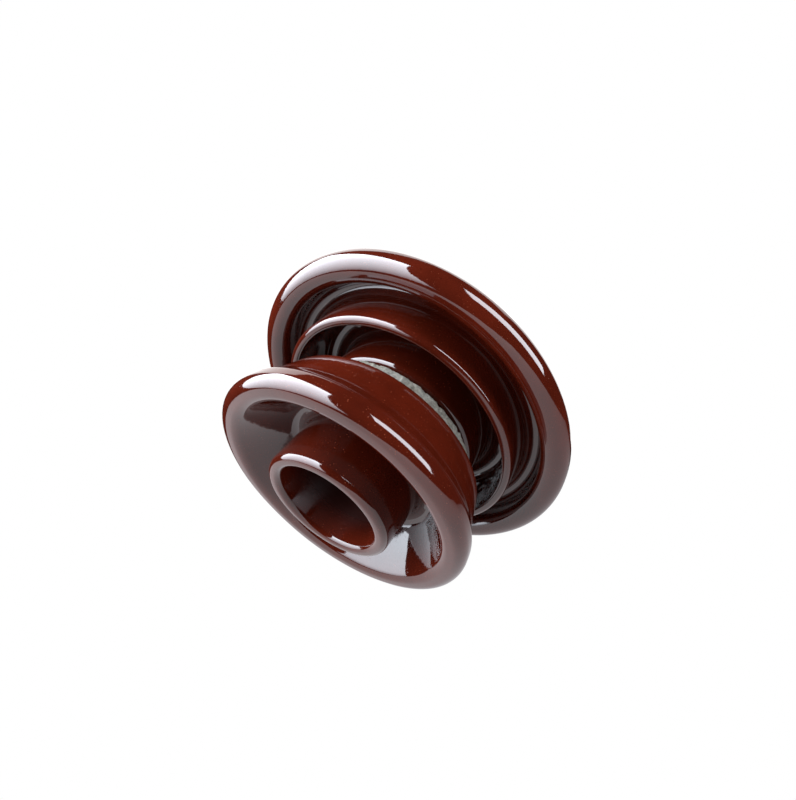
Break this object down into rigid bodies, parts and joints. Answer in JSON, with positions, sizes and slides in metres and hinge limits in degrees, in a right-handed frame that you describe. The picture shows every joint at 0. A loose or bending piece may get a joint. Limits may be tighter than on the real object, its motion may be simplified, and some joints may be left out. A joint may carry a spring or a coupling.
{
  "type": "pin insulator",
  "caption": "Two-shell cemented porcelain pin insulator with brown glaze, a bell, an inner petticoat and an umbrella skirt, a threaded pin hole, and wire grooves on its head.",
  "frame": {"origin": "centre of the foot ring, the rounded end of the pin tube that the insulator stands on", "axes": "+Z along the pin axis from the pin hole towards the head; +Y along the conductor groove across the crown"},
  "size_m": [0.267, 0.267, 0.1905],
  "materials": {
    "brown_glaze": "high-gloss deep red-brown glaze",
    "cement": "rough grey Portland cement with sand",
    "porcelain_grit": "fused coarse grit, unglazed",
    "cork": "granulated cork with bitumen",
    "cast_alloy": "as-cast zinc alloy, satin grey"
  },
  "bodies": {
    "root": {"upper_shell": "brown_glaze", "lower_shell": "brown_glaze", "shell_cement": "cement", "socket_grit_coat": "porcelain_grit", "head_grit_coat": "porcelain_grit", "crown_pad": "cork", "thread_insert": "cast_alloy", "insert_cement": "cement", "pin_hole_grit_coat": "porcelain_grit", "insert_pad": "cork"}
  },
  "joints": []
}
